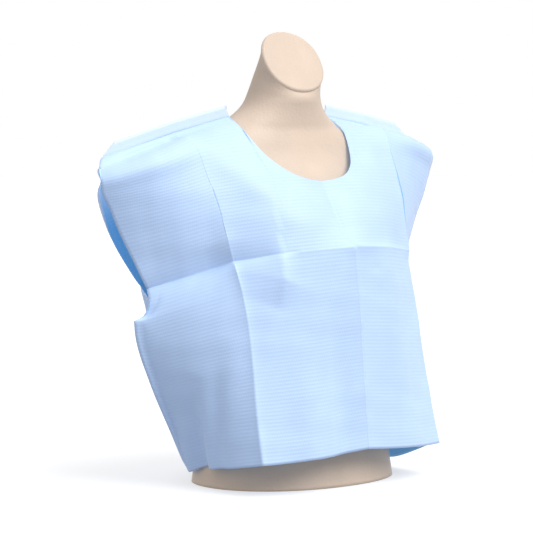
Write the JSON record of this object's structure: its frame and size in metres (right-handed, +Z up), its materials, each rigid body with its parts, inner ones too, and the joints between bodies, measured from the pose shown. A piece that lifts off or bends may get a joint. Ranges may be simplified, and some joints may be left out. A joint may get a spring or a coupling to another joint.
{
  "type": "exam gown on torso form",
  "caption": "Disposable embossed-paper exam gown of short cape cut, open down the back, worn on a headless, armless torso form with a slanted neck cap.",
  "frame": {"origin": "centre of the torso form's flat base, on the surface it stands on", "axes": "+Z up; the wearer faces -Y; +X is the wearer's left"},
  "size_m": [0.6688, 0.311, 0.6564],
  "materials": {
    "paper": "matte embossed laminated paper with fine cross ribs, light blue",
    "form": "smooth satin skin-coloured plastic"
  },
  "bodies": {
    "root": {"front_panel": "paper", "back_left": "paper", "back_right": "paper", "torso_form": "form"}
  },
  "joints": []
}
